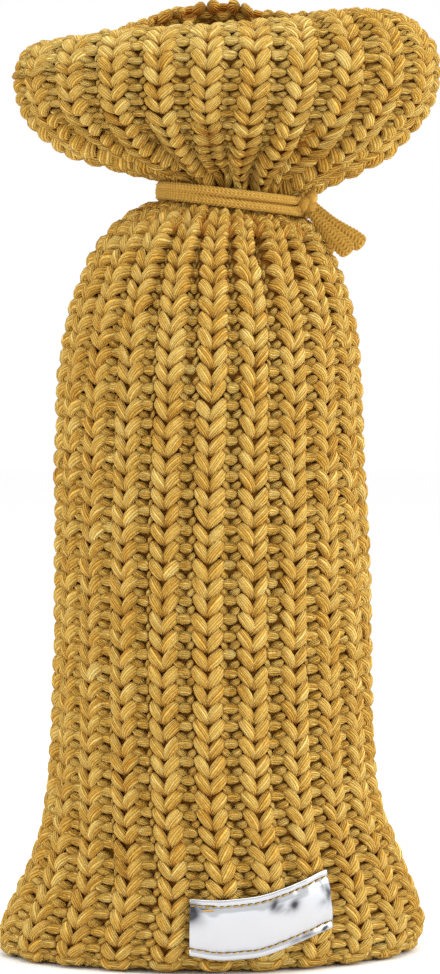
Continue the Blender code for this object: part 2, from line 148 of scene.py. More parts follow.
# Depths count from the crests' reach inwards.
FURROW_FLOOR, FURROW_SIDE, SIDE_POWER = 0.03, 0.23, 0.8  # shares of a column's pitch, and the sides' fullness
FURROW_SHARE = 0.85  # a furrow's stitches lie lower than the crests by this share of the rib's height
STITCH_ROOM = 3.4  # and at least this far out from the wall's inner face
GROUND_DEEP, GROUND_LEFT = 3.3, 0.6  # the ground cloth's depth, and what is left of the wall behind it
GROUND_SHARE = 0.6  # the ground cloth's furrows are this share of the rib's height deep
LINING_FROM_WALL, INSIDE_FROM_WALL = -0.8, 2.2  # from the wall's inner face to its lining and its stitches
EDGE_DEEP = 2.0  # the middle of the cloth's thickness
# On the ruffle the ribs fade out: from where and over how much, down from the rim, forwards and leftwards.
FLAT_BELOW, FLAT_FRONT, FLAT_LEFT = (33.0, 12.0), (-1.0, 7.0), (34.0, 14.0)
RIM_BLEND = 4.0  # rings over which the outward directions turn to those at the rim

PER_WALE = 8  # grid columns to one column of stitches
PER_RING = 8  # grid rows between two rings
GRID_EASE, NORMAL_EASE = 6, 4  # how many times the grid and its directions are smoothed
rng = np.random.default_rng(11)


def rows(table, columns):
    """The table as one array for each named column."""
    return {name: np.array([row[i] for row in table], float) for i, name in enumerate(columns)}


def fade(x):
    """Smooth step from 0 at 0 to 1 at 1."""
    x = np.clip(x, 0.0, 1.0)
    return x * x * (3.0 - 2.0 * x)


def unit(vectors):
    """The vectors at length 1."""
    return vectors / np.maximum(np.linalg.norm(vectors, axis=-1, keepdims=True), 1e-9)


# ---------------------------------------------------------------- the cloth's surface


def section_ring(section, shares):
    """One section's points at the crests' reach, at shares of the way round."""
    turn = np.linspace(0.0, 2.0 * math.pi, SECTION_SAMPLES)
    across, up = np.cos(turn), np.sin(turn)
    corner = section["corner"]
    x = (section["half_width"] - corner) * across
    x = x + corner * np.sign(across) * np.abs(across) ** CORNER_POWER
    y = section["half_depth"] * np.sign(up) * np.abs(up) ** (1.0 - section["boxy"])
    length = np.concatenate([[0.0], np.cumsum(np.hypot(np.diff(x), np.diff(y)))])
    at = ((shares + section["turn"] / 360.0) % 1.0) * length[-1]
    x, y = np.interp(at, length, x), np.interp(at, length, y)
    cos, sin = math.cos(math.radians(section["yaw"])), math.sin(math.radians(section["yaw"]))
    x, y = x * cos - y * sin, x * sin + y * cos
    z = section["z"] + section["tilt"] * x / section["half_width"]
    return np.column_stack([x + section["shift"], y, z])


def outward(ring, shift):
    """Level unit vectors that spread evenly round a ring, as the angle of its ellipse does."""
    wide, deep = np.ptp(ring[:, 0]), max(np.ptp(ring[:, 1]), 1e-6)
    return unit(np.column_stack([(ring[:, 0] - shift) / wide, ring[:, 1] / deep]))


def all_rings(shares):
    """Rings from the seam under the base to the ruffle's edge, and each ring's facts."""
    facts = [dict(zip(SECTION_COLUMNS, row)) for row in SECTIONS]
    body = [section_ring(section, shares) for section in facts]
    under = []
    for step in range(UNDER_STEPS):
        share = step / UNDER_STEPS
        ring = body[0].copy()
        ring[:, 1] *= share
        shift = facts[0]["shift"]
        ring[:, 0] = shift + (ring[:, 0] - shift) * (SEAM_SHARE + (1.0 - SEAM_SHARE) * share)
        ring[:, 2] = SEAM_RISE * (1.0 - share) ** 2
        under.append(ring)
    widest, shift = body[-1], facts[-1]["shift"]
    out = outward(widest, shift)
    rim = rows(RIM, RIM_COLUMNS)
    angle = np.degrees(np.arctan2(out[:, 1], out[:, 0])) % 360.0
    rise, radius, bend = (np.interp(angle, rim["angle"], rim[name], period=360.0) for name in RIM_COLUMNS[1:])
    top = []
    for step in range(RIM_STEPS + 1):
        part = np.radians(bend) * step / RIM_STEPS
        ring = widest.copy()
        ring[:, :2] -= out * (radius * (1.0 - np.cos(part)))[:, None]
        ring[:, 2] += rise + radius * np.sin(part)
        top.append(ring)
    base = dict(facts[0], rib=UNDER_RIB, wall=UNDER_WALL)
    facts = [base] * UNDER_STEPS + facts + [facts[-1]] * (RIM_STEPS + 1)
    return np.array(under + body + top), facts


def smoothed(values, times):
    """Values with each grid row eased towards its neighbours above and below."""
    for _ in range(times):
        values[1:-1] = 0.5 * values[1:-1] + 0.25 * (values[:-2] + values[2:])
    return values


def resampled(values):
    """Per-ring values at every grid row."""
    values = np.asarray(values, float)
    at = np.linspace(0.0, len(values) - 1.0, (len(values) - 1) * PER_RING + 1)
    low = np.minimum(at.astype(int), len(values) - 2)
    part = (at - low).reshape((-1,) + (1,) * (values.ndim - 1))
    return smoothed(values[low] * (1 - part) + values[low + 1] * part, GRID_EASE)


def across_wale(place):
    """A column's height, 0 in the furrow and 1 over its flat top, for a place in columns."""
    near = np.abs(place - np.round(place))
    return fade((near - FURROW_FLOOR) / FURROW_SIDE) ** SIDE_POWER


class Surface:
    """The crests' reach as a grid, with what each place needs to set a stitch on it."""

    def __init__(self):
        place = np.arange(WALES * PER_WALE) / PER_WALE
        rings, facts = all_rings(FRONT + (place - 0.5) / WALES)
        self.points = resampled(rings)
        self.rib = resampled([fact["rib"] for fact in facts])
        self.wall = resampled([fact["wall"] for fact in facts])
        shift = resampled([fact["shift"] for fact in facts])
        self.up = unit(np.gradient(self.points, axis=0))
        across = np.roll(self.points, -1, axis=1) - np.roll(self.points, 1, axis=1)
        level = np.array([outward(ring, middle) for ring, middle in zip(self.points, shift)])
        rise = -(self.up[:, :, :2] * level).sum(axis=2, keepdims=True)
        self.profile = unit(np.concatenate([level * self.up[:, :, 2:], rise], axis=2))
        ring_at = np.arange(len(self.points)) / PER_RING - UNDER_STEPS
        rim = fade((ring_at - len(SECTIONS) + RIM_BLEND) / RIM_BLEND)[:, None, None]
        self.normal = unit(unit(np.cross(across, self.up)) * (1 - rim) + self.profile * rim)
        self.normal[ring_at < 0.0] = (0.0, 0.0, -1.0)
        self.normal = unit(smoothed(self.normal, NORMAL_EASE))
        self.fold = self.folds(shift)
        beside = np.linalg.norm(np.roll(self.points, -1, axis=1) - self.points, axis=2) * PER_WALE
        half = PER_WALE // 2
        self.pitch = np.mean([np.roll(beside, k, axis=1) for k in range(-half, half + 1)], axis=0)
        step = np.linalg.norm(np.diff(self.points, axis=0), axis=2).mean(axis=1)
        self.length = np.concatenate([[0.0], np.cumsum(step)])
        self.length -= self.length[UNDER_STEPS * PER_RING]

    def folds(self, shift):
        """How far the drawn-in cloth's folds push each point in."""
        angle = np.degrees(np.arctan2(self.points[:, :, 1], self.points[:, :, 0] - shift[:, None])) % 360.0
        height = self.points[:, :, 2]
        depth = np.zeros(angle.shape)
        for row in FOLDS:
            fold = dict(zip(FOLD_COLUMNS, row))
            away = np.abs((angle - fold["angle"] + 180.0) % 360.0 - 180.0) / fold["wide"]
            above = fade((height - fold["low"]) / FOLD_FADE + 1.0)
            below = fade((fold["high"] - height) / FOLD_FADE + 1.0)
            depth = np.maximum(depth, fold["deep"] * above * below * fade(1.0 - away))
        return depth

    def look_up(self, grid, row, place):
        """Values of a grid at grid rows and places round in columns."""
        row = np.clip(row, 0.0, len(self.points) - 1.001)
        low = row.astype(int)
        part = row - low
        column = (place % WALES) * PER_WALE
        left = column.astype(int) % (WALES * PER_WALE)
        right = (left + 1) % (WALES * PER_WALE)
        over = column - np.floor(column)
        if grid.ndim == 1:
            return grid[low] * (1 - part) + grid[low + 1] * part
        if grid.ndim == 3:
            part, over = part[:, None], over[:, None]
        lower, upper = (grid[at, left] * (1 - over) + grid[at, right] * over for at in (low, low + 1))
        return lower * (1 - part) + upper * part

    def grid_row(self, length):
        """The grid row at a length up the cloth from the base's edge."""
        return np.interp(length, self.length, np.arange(len(self.length)))

    def sunk(self, length, place, ways, deep):
        """Points at a depth below the crests' reach, against a grid of outward directions.

        The crests' reach is carried on straight past the cloth's edge.
        """
        row = self.grid_row(length)
        past = np.maximum(length - self.length[-1], 0.0)
        crest = self.look_up(self.points, row, place) + self.look_up(self.up, row, place) * past[:, None]
        return crest - unit(self.look_up(ways, row, place)) * deep[:, None]

    def build(self, length, place):
        """The rib's height, the folds' depth and the wall's thickness at each place."""
        row = self.grid_row(length)
        return (self.look_up(grid, row, place) for grid in (self.rib, self.fold, self.wall))

    def outside(self, length, place, height):
        """Points on the outside. height is above the columns' own surface."""
        rib, fold, wall = self.build(length, place)
        deep = np.minimum(FURROW_SHARE * rib * (1.0 - across_wale(place)) + fold, wall - STITCH_ROOM)
        return self.sunk(length, place, self.normal, deep - height)

    def ground(self, length, place):
        """Points on the cloth under the stitches, whose furrows are rounder and less deep than theirs."""
        rib, fold, wall = self.build(length, place)
        furrow = GROUND_SHARE * rib * (1.0 - np.abs(np.sin(math.pi * place)))
        deep = np.minimum(furrow + fold + GROUND_DEEP, wall - GROUND_LEFT)
        return self.sunk(length, place, self.normal, deep)

    def lining(self, length, place):
        """Points on the cloth's smooth inner face."""
        _, _, wall = self.build(length, place)
        return self.sunk(length, place, self.profile, wall + LINING_FROM_WALL)

    def inside(self, length, place, height):
        """Points on the inside of the wall. height is into the hollow."""
        rib, _, wall = self.build(length, place)
        deep = wall + INSIDE_FROM_WALL - GROUND_SHARE * rib * across_wale(place) + height
        return self.sunk(length, place, self.profile, deep)

    def outside_flat(self, length, place, height):
        """Points on the outside, where height counts from the crests' reach in furrows too."""
        return self.sunk(length, place, self.normal, -height)

    def ruffle(self, length, place, height):
        """Points on the ruffle, where the ribs fade out towards its front and left fold."""
        ribbed = self.outside(length, place, height)
        flat = self.outside_flat(length, place, height)
        share = fade((length - self.length[-1] + FLAT_BELOW[0]) / FLAT_BELOW[1])
        share = share * fade((FLAT_FRONT[0] - flat[:, 1]) / FLAT_FRONT[1])
        share = share * fade((FLAT_LEFT[0] - flat[:, 0]) / FLAT_LEFT[1])
        return ribbed + (flat - ribbed) * share[:, None]

    def edge(self, length, place, height):
        """Points in the middle of the cloth's thickness, which height counts from."""
        return self.outside_flat(length, place, height - EDGE_DEEP)

    def column_scale(self, length, place):
        """How much wider or narrower than as knitted a column is drawn there, and the pitch there."""
        pitch = self.look_up(self.pitch, self.grid_row(length), place)
        narrow = np.minimum(1.0, HUG * pitch / COLUMN_HALF)
        return np.where(pitch < WALE_MM, narrow, (pitch / WALE_MM) ** SPREAD_POWER), pitch


SKIN = Surface()
BODY_TOP = float(SKIN.length[(UNDER_STEPS + TIE_SECTION) * PER_RING])
RIM_EDGE = float(SKIN.length[-1])
SEAM = float(SKIN.length[0])


# ---------------------------------------------------------------- stitches as meshes


TIP_SHARE = 0.55  # a lump's tips stand out by this share of its end's half size
# Small differences from stitch to stitch: in size and place along each axis, in lean and in tone.
SIZE_SPREAD, PLACE_SPREAD = (0.05, 0.035, 0.07), (0.16, 0.14, 0.14)
LEAN_SPREAD, TONE_SPREAD = 0.045, 0.10
FURROW_WIDTHS = (0.3, 1.5)  # the least and the greatest share of its width that a furrow's stitch takes
FURROW_SINK = 1.2  # and how much lower it lies where its furrow is closed
SHADE_FROM, SHADE_OVER = 1.0, 2.5  # painted shade: the yarn's colour darkens from this far below the crests, over this much


def circle(sides):
    """Angles all round, as many as a tube has sides."""
    return np.linspace(0.0, 2.0 * math.pi, sides, endpoint=False)


def tube_faces(count, sides):
    """The faces round a tube of count rings."""
    ring, j = np.arange(count - 1)[:, None] * sides, np.arange(sides)[None, :]
    k = (j + 1) % sides
    return np.stack([ring + j, ring + k, ring + sides + k, ring + sides + j], axis=2).reshape(-1, 4)


def yarn_lump(line, wide, high, sides):
    """A plump length of yarn along a line of (across, up, height) points.

    Returns its points, faces and each point's place round and along the yarn. wide and high are its half
    sizes at each point, in the cloth's plane and out of it.
    """
    line, wide, high = (np.asarray(values, float) for values in (line, wide, high))
    ahead = np.zeros(line.shape)
    ahead[:, :2] = unit(np.gradient(line[:, :2], axis=0))
    side = np.cross(ahead, (0.0, 0.0, 1.0))
    angle = circle(sides)
    rings = line[:, None] + side[:, None] * (wide[:, None] * np.cos(angle))[:, :, None]
    rings[:, :, 2] += high[:, None] * np.sin(angle)
    ends = [0, -1]
    reach = TIP_SHARE * np.minimum(wide, high)[ends] * (-1.0, 1.0)
    points = np.vstack([rings.reshape(-1, 3), line[ends] + ahead[ends] * reach[:, None]])
    j = np.arange(sides)
    k, top, tip = (j + 1) % sides, len(points) - 2 - sides + j * 0, len(points) + j * 0
    faces = [tube_faces(len(line), sides), np.column_stack([tip - 2, tip - 2, k, j]),
             np.column_stack([tip - 1, tip - 1, top + j, top + k])]
    around = np.append(np.tile(angle / (2.0 * math.pi), len(line)), (0.0, 0.0))
    along = np.append(np.repeat(np.linspace(0.0, 1.0, len(line)), sides), (0.0, 1.0))
    return {"points": points, "faces": np.vstack(faces), "round": around, "along": along}


def turned_over(faces):
    """The faces seen from their other side. A triangle still starts with the same point twice."""
    return faces[:, [1, 0, 3, 2]]


def mirrored(lump):
    """The lump's mirror image across its column's middle."""
    points = lump["points"] * (-1.0, 1.0, 1.0)
    return dict(lump, points=points, faces=turned_over(lump["faces"]))


def changed(lump, scale, move):
    """The lump with another size along each axis, then moved."""
    return dict(lump, points=lump["points"] * scale + move)


def several(lump, count):
    """The points of count copies, each with its own small differences."""
    points = np.repeat(lump["points"][None], count, axis=0)
    middle = lump["points"].mean(axis=0)
    scale = 1.0 + rng.normal(0.0, 1.0, (count, 1, 3)) * SIZE_SPREAD
    points = middle + (points - middle) * scale
    lean = rng.normal(0.0, LEAN_SPREAD, count)[:, None]
    x, y = points[:, :, 0] - middle[0], points[:, :, 1] - middle[1]
    points[:, :, 0] = middle[0] + x * np.cos(lean) - y * np.sin(lean)
    points[:, :, 1] = middle[1] + x * np.sin(lean) + y * np.cos(lean)
    return points + rng.normal(0.0, 1.0, (count, 1, 3)) * PLACE_SPREAD


class Knitting:
    """Collects stitches and makes one mesh object of them."""

    def __init__(self, name):
        self.name = name
        self.points, self.faces, self.round, self.along, self.tone = [], [], [], [], []
        self.count = 0

    def add(self, lump, wales, lengths, put, tall=1.0, inside=False, furrow=False, shade=0.0):
        """Adds a copy of a lump at each place, given in columns round and length up.

        put sets points on the cloth, and tall is a row's height as a share of the usual one. On the inside,
        left and right change places.
        """
        count = len(wales)
        local = several(lump, count)
        # painted shade: how far each point lies below the crests, for darkening its colour in the material
        low = np.clip((-local[:, :, 2] - SHADE_FROM) / SHADE_OVER, 0.0, 1.0).ravel()
        wide, pitch = SKIN.column_scale(lengths, wales)
        if furrow:
            room = (pitch - 2.0 * COLUMN_HALF * wide) / (WALE_MM - 2.0 * COLUMN_HALF)
            wide = np.clip(room, *FURROW_WIDTHS)
            local[:, :, 2] -= FURROW_SINK * (1.0 - np.clip(room, 0.0, 1.0))[:, None]
        flip = -1.0 if inside else 1.0
        place = wales[:, None] + flip * local[:, :, 0] * (wide / pitch)[:, None]
        length = lengths[:, None] + local[:, :, 1] * tall
        made = put(length.ravel(), place.ravel(), local[:, :, 2].ravel())
        if inside:
            lump = dict(lump, faces=turned_over(lump["faces"]))
        self.take(made, lump, count, shade, low)

    def take(self, made, lump, count, shade=0.0, low=None):
        """Keeps count copies' finished points with their lump's faces. low is how deep each point lies, which
        the material paints as shade.
        """
        size = len(lump["points"])
        first = self.count + np.arange(count) * size
        self.faces.append((lump["faces"][None] + first[:, None, None]).reshape(-1, 4))
        self.points.append(made)
        self.round.append(np.tile(lump["round"], count))
        self.along.append(np.tile(lump["along"], count))
        tone = np.clip(np.repeat(rng.normal(0.5 + shade, TONE_SPREAD, count), size), 0.0, 1.0)
        self.tone.append(np.column_stack([tone, np.zeros(len(tone)) if low is None else low]))
        self.count += count * size

    def make(self, material):
        """The mesh object."""
        points, faces = np.concatenate(self.points) * MM, np.concatenate(self.faces)
        points[:, 2] = np.maximum(points[:, 2], 0.0)  # the foot is pressed flat on the floor
        return mesh_object(
            self.name, points, faces, material,
            np.column_stack([np.concatenate(self.round), np.concatenate(self.along)]),
            np.concatenate(self.tone),
        )


def mesh_object(name, points, faces, material, uv=None, tone=None, wrap=True):
    """A smooth object of quads, where a quad that starts with the same point twice is a triangle.

    With wrap, a face that spans the yarn's place round from 1 back to 0 is carried past 1.
    """
    triangle = faces[:, 0] == faces[:, 1]
    sizes = np.where(triangle, 3, 4)
    keep = np.ones(faces.shape, bool)
    keep[triangle, 0] = False
    corners = faces[keep]
    data = bpy.data.meshes.new(name)
    data.vertices.add(len(points))
    data.vertices.foreach_set("co", points.astype(np.float32).ravel())
    data.loops.add(len(corners))
    data.loops.foreach_set("vertex_index", corners.astype(np.int32))
    data.polygons.add(len(faces))
    data.polygons.foreach_set("loop_start", np.concatenate([[0], np.cumsum(sizes)[:-1]]).astype(np.int32))
    data.update(calc_edges=True)
    if uv is not None:
        layer = data.uv_layers.new(name="yarn")
        around = uv[faces][:, :, 0]
        over = wrap & (around.max(axis=1)[:, None] - around > 0.5)
        placed = uv[faces].copy()
        placed[:, :, 0] += over
        layer.data.foreach_set("uv", placed[keep].astype(np.float32).ravel())
    if tone is not None:
        colour = data.color_attributes.new(name="tone", type="FLOAT_COLOR", domain="POINT")
        rgba = np.zeros((len(points), 4))
        rgba[:, :2] = tone
        rgba[:, 3] = 1.0
        colour.data.foreach_set("color", rgba.astype(np.float32).ravel())
    data.validate()
    data.shade_smooth()
    data.materials.append(material)
    made = bpy.data.objects.new(name, data)
    bpy.context.scene.collection.objects.link(made)
    return made


# ---------------------------------------------------------------- materials


BUMP_M = 0.0006  # the depth, in metres, that fine bumps stand for


class Graph:
    """A new material and its nodes."""

    def __init__(self, name, **values):
        self.material = bpy.data.materials.new(name)
        self.material.use_nodes = True
        self.nodes, self.links = self.material.node_tree.nodes, self.material.node_tree.links
        self.surface(values)

    def surface(self, values):
        """Fills the shader's inputs."""
        self.fill(self.nodes["Principled BSDF"], values)

    def fill(self, node, values):
        """Sets a node's inputs to values, or joins them to another node's output."""
        for key, value in values.items():
            if isinstance(value, bpy.types.NodeSocket):
                self.links.new(value, node.inputs[key])
            else:
                node.inputs[key].default_value = value

    def node(self, kind, values, **settings):
        """A node with its settings and its inputs, which go by name or number."""
        node = self.nodes.new("ShaderNode" + kind)
        for setting, value in settings.items():
            setattr(node, setting, value)
        self.fill(node, values)
        return node

    def math(self, operation, *values):
        """The outcome of an operation on one or two values."""
        return self.node("Math", dict(enumerate(values)), operation=operation).outputs[0]

    def weighed(self, *terms):
        """Values added up, each times its weight."""
        total = None
        for value, weight in terms:
            term = self.math("MULTIPLY", value, weight)
            total = term if total is None else self.math("ADD", total, term)
        return total

    def parts(self, vector):
        """A vector's first two parts."""
        split = self.node("SeparateXYZ", {0: vector})
        return split.outputs["X"], split.outputs["Y"]

    def noise(self, values):
        """Soft noise between 0 and 1."""
        return self.node("TexNoise", values).outputs["Fac"]

    def ramp(self, share, *stops):
        """The colour at a share, between stops of a place and a colour."""
        node = self.node("ValToRGB", {"Fac": share})
        elements = node.color_ramp.elements
        for element, (place, colour) in zip(elements, (stops[0], stops[-1])):
            element.position, element.color = place, (*colour, 1.0)
        for place, colour in stops[1:-1]:
            elements.new(place).color = (*colour, 1.0)
        return node.outputs["Color"]

    def bump(self, height, strength):
        """Fine bumps all over the material."""
        node = self.node("Bump", {"Strength": strength, "Distance": BUMP_M, "Height": height})
        self.surface({"Normal": node.outputs["Normal"]})


PAINTED_SHADE_TINT = (0.94, 0.62, 0.26)  # painted shade: the yarn's colour is multiplied by this where it lies deep
CORD_PAINTED_SHADE_TINT = (0.52, 0.36, 0.17)  # and the cord's by this between its plaits, painted shade in the grooves
# Each yarn's dark, middle and light colour.
YARN_COLOURS = (0.42, 0.172, 0.011), (0.71, 0.408, 0.062), (0.88, 0.685, 0.235)
# painted shade: the ground cloth is coloured dark and reddish as the shade seen in the gaps between the
# stitches
GROUND_PAINTED_SHADE_COLOURS = (0.19, 0.072, 0.006), (0.26, 0.100, 0.010), (0.33, 0.135, 0.016)
CORD_COLOURS = (0.41, 0.230, 0.038), (0.61, 0.370, 0.072), (0.82, 0.565, 0.165)
COLOUR_PLACES = (0.2, 0.5, 0.85)
SHEEN_TINT = (1.0, 0.86, 0.55, 1.0)
# the film's own colour, and the dark of its painted reflections and painted shade
FILM, REFLECTED_DARK = (0.57, 0.58, 0.605), (0.06, 0.06, 0.07)
# Painted dark reflections of the surroundings, and painted shade along the two sewn lines: place along and up
# the strip, how wide and high, and how dark.
PAINTED_REFLECTIONS_AND_SHADE = (
    (0.000, 0.76, 0.070, 0.17, 1.50),
    (0.050, 0.66, 0.050, 0.12, 0.45),
    (0.590, 0.79, 0.030, 0.10, 1.00),
    (0.615, 0.72, 0.040, 0.07, 0.70),
    (0.640, 0.66, 0.050, 0.05, 0.40),
    (0.725, 0.67, 0.040, 0.10, 1.10),
    (0.690, 0.62, 0.040, 0.06, 0.50),
    (0.945, 0.76, 0.018, 0.16, 0.55),
    (0.975, 0.62, 0.030, 0.16, 0.95),
    (0.930, 0.50, 0.040, 0.07, 0.45),
    (0.945, 0.055, 0.020, 0.030, 1.50),
    (0.820, 0.060, 0.080, 0.035, 0.75),
    (0.740, 0.050, 0.050, 0.035, 0.60),
    (0.500, 0.120, 6.000, 0.016, 0.50),
    (0.500, 0.880, 6.000, 0.016, 0.50),
    (0.100, 0.845, 0.060, 0.020, 0.90),
)


def yarn_material(name, colours, strands, bump, plied=1.0, painted_shade_tint=PAINTED_SHADE_TINT):
    """Matte cotton yarn: plied strands along it, a fine fuzz of noise, each stitch's own tone, and painted
    shade where it lies deep and in the grooves between its strands.
    """
    graph = Graph(name, **{
        "Roughness": 0.9, "Specular IOR Level": 0.12,
        "Sheen Weight": 0.06, "Sheen Roughness": 0.6, "Sheen Tint": SHEEN_TINT,
    })
    around, along = graph.parts(graph.node("UVMap", {}, uv_map="yarn").outputs["UV"])
    # low, the attribute's second part, is where the yarn's colour is darkened as painted shade
    tone, low = graph.parts(graph.node("Attribute", {}, attribute_name="tone").outputs["Vector"])
    where = graph.node("CombineXYZ", {
        "X": graph.math("MULTIPLY", around, 0.6 * strands),
        "Y": graph.math("MULTIPLY", along, 1.1),
        "Z": graph.math("MULTIPLY", tone, 60.0),
    }).outputs["Vector"]
    uneven = graph.math("SUBTRACT", graph.noise({"Scale": 1.0, "Detail": 1.0, "Vector": where}), 0.5)
    ply = graph.math("SINE", graph.weighed((around, 2.0 * math.pi * strands), (along, 2.0), (uneven, 9.0)))
    place = graph.node("TexCoord", {}).outputs["Object"]
    fuzz = graph.noise({"Scale": 900.0, "Detail": 3.0, "Vector": place})
    broad = graph.noise({"Scale": 60.0, "Detail": 2.0, "Vector": place})
    # the ply term paints shade in the grooves between the strands; the noises and the tone are the yarn's own
    # uneven colour
    mix = graph.weighed((ply, 0.15 * plied), (uneven, 0.7 * plied), (fuzz, 0.4), (broad, 0.25), (tone, 0.30))
    colour = graph.ramp(graph.math("ADD", mix, 0.03), *zip(COLOUR_PLACES, colours))
    # painted shade: the colour is multiplied by the tint where the yarn lies deep
    deep = graph.node("Mix", {0: low, 6: colour, 7: (*painted_shade_tint, 1.0)}, data_type="RGBA", blend_type="MULTIPLY")
    graph.surface({"Base Color": deep.outputs[2]})
    graph.bump(graph.weighed((ply, 0.6 * plied), (fuzz, 0.9)), bump)
    return graph.material


def silver_material():
    """Mirror-like silver film with soft creases, a few painted dark reflections and painted shade along its
    sewn lines.
    """
    graph = Graph("silver", Metallic=1.0, Roughness=0.22)
    uv = graph.node("UVMap", {}, uv_map="yarn").outputs["UV"]
    along, up = graph.parts(uv)
    noise = graph.noise({"Scale": 6.0, "Detail": 1.0, "Vector": uv})
    wobble = graph.math("MULTIPLY", graph.math("SUBTRACT", noise, 0.5), 0.06)
    # painted dark reflections, and painted shade along the sewn lines
    dark = 0.0
    for *middle, wide, high, depth in PAINTED_REFLECTIONS_AND_SHADE:
        near = []
        for at, centre, size in zip((along, up), middle, (wide, high)):
            off = graph.math("ADD", graph.math("SUBTRACT", at, centre), wobble)
            off = graph.math("DIVIDE", off, size)
            near.append(graph.math("MULTIPLY", off, off))
        near = graph.math("MULTIPLY", graph.math("ADD", *near), -1.0)
        dark = graph.math("MAXIMUM", dark, graph.math("MULTIPLY", graph.math("EXPONENT", near), depth))
    graph.surface({"Base Color": graph.ramp(dark, (0.0, FILM), (1.0, REFLECTED_DARK))})
    graph.bump(noise, 0.25)
    return graph.material


def plain_material(name, colour, roughness):
    """A plain pale surface with the faintest mottling."""
    graph = Graph(name, Roughness=roughness)
    dark = [0.985 * part for part in colour]
    graph.surface({"Base Color": graph.ramp(graph.noise({"Scale": 3.0}), (0.0, dark), (1.0, colour))})
    return graph.material


yarn = yarn_material("yarn", YARN_COLOURS, 15.0, 0.9)
ground_painted_shade_yarn = yarn_material("ground_painted_shade_yarn", GROUND_PAINTED_SHADE_COLOURS, 7.0, 0.5)
cord_yarn = yarn_material("cord_yarn", CORD_COLOURS, 9.0, 0.35, 0.1, CORD_PAINTED_SHADE_TINT)
silver = silver_material()


# ---------------------------------------------------------------- the cover


SINK = 2.0  # the stitches' middle lies this far below the crests' reach

# A V's right leg, from its low tip to its outer top: how far across and up, its half width in the cloth and
# out of it, and its middle's height.
LEG_LINE = (
    (0.28, -2.10, 0.72, 0.60, -1.20),
    (0.55, -1.15, 1.32, 1.05, -0.50),
    (1.12, 0.18, 1.74, 1.40, 0.18),
    (2.15, 1.62, 1.87, 1.54, 0.55),
    (3.35, 3.15, 1.85, 1.50, 0.52),
    (4.34, 4.40, 1.68, 1.32, 0.04),
    (4.76, 4.98, 1.30, 1.02, -0.48),
)
# A leg's size against that line, across, in its width and in its height. The left one stands steeper.
LEFT_LEG, RIGHT_LEG = (0.91, 1.00, 1.00), (1.06, 1.09, 1.00)
HEAD_LEFT, HEAD_RIGHT = (0.92, 1.03, 0.98), (0.98, 1.07, 0.98)
INSIDE_KEPT = [0, 2, 3, 4, 6]  # the stitches inside the ruffle, in its shade, need only these points


def leg_pair(left, right, kept=slice(None), sides=10):
    """A V: each leg runs from low at its column's middle up and out, its ends tucked in."""
    line = np.array(LEG_LINE)[kept]
    legs = []
    for across, wide, high in (left, right):
        middle = np.column_stack([line[:, 0] * across, line[:, 1], line[:, 4] - SINK])
        legs.append(yarn_lump(middle, line[:, 2] * wide, line[:, 3] * high, sides))
    return mirrored(legs[0]), legs[1]


def bar_shape(rings=5, sides=8):
    """A purl bump across a furrow: a short, full arch."""
    share = np.linspace(-1.0, 1.0, rings)
    body = np.maximum(1.0 - (0.88 * share) ** 4, 0.0) ** 0.5
    middle = np.column_stack([1.9 * share - 0.05, 0.25 * body, -SINK - 0.1 + 1.25 * body])
    return yarn_lump(middle, 1.78 * body, 1.30 * body, sides)


def slant_shape():
    """A small leg beside the furrow's middle, under the bar."""
    share = np.linspace(0.0, 1.0, 4)
    body = np.sin(math.pi * (0.14 + 0.72 * share)) ** 0.7
    middle = np.column_stack([0.20 + 2.6 * share, -1.25 + 2.2 * share, -SINK - 0.35 + 1.0 * body])
    return yarn_lump(middle, 1.34 * body, 1.16 * body, 6)


BAR, SLANT, INSIDE_BAR = bar_shape(), slant_shape(), bar_shape(4, 6)
BAR_UP, SLANT_UP = -2.6, 0.2  # a furrow's bump and small legs, above their row
LEGS = leg_pair(LEFT_LEG, RIGHT_LEG)
HEAD_LEGS = leg_pair(HEAD_LEFT, HEAD_RIGHT)
INSIDE_LEGS = leg_pair(HEAD_LEFT, HEAD_RIGHT, INSIDE_KEPT, 7)
FOLD_LEGS = [changed(leg, (1.26, 1.0, 1.0), (0.0, 0.0, -0.3)) for leg in HEAD_LEGS]


# Half of a loop pair on the bound-off edge: how far across and up, its half width and its half thickness.
EDGE_LOOP_LINE = (
    (3.10, -3.6, 1.2, 1.2),
    (2.90, -2.5, 1.9, 1.9),
    (2.65, -1.3, 2.1, 2.1),
    (2.40, -0.2, 2.15, 2.15),
    (2.05, 0.8, 2.1, 2.15),
    (1.75, 1.6, 1.85, 2.0),
    (1.45, 2.3, 1.25, 1.4),
)


def edge_loop_shape():
    """Half of a loop pair on the bound-off edge: a plump leg that leans in towards its fellow."""
    line = np.array(EDGE_LOOP_LINE)
    middle = np.column_stack([line[:, :2], np.full(len(line), -1.2)])
    return yarn_lump(middle, line[:, 2], line[:, 3], 10)


def lobe_shape():
    """A strand of the cast-on edge: it runs across the foot of a column and turns up at its ends."""
    share = np.linspace(-1.0, 1.0, 7)
    body = np.sqrt(np.maximum(1.0 - (0.9 * share) ** 2, 0.0))
    line = np.column_stack([5.2 * share, 1.6 * share**4, -SINK - 0.6 + 1.4 * body])
    return yarn_lump(line, 1.45 * body, 1.35 * body, 9)


EDGE_LOOP, LOBE = edge_loop_shape(), lobe_shape()
ALL_WALES = np.arange(WALES)
ROW_SPREAD = 0.15  # a row's stitches lie higher or lower than each other by about this


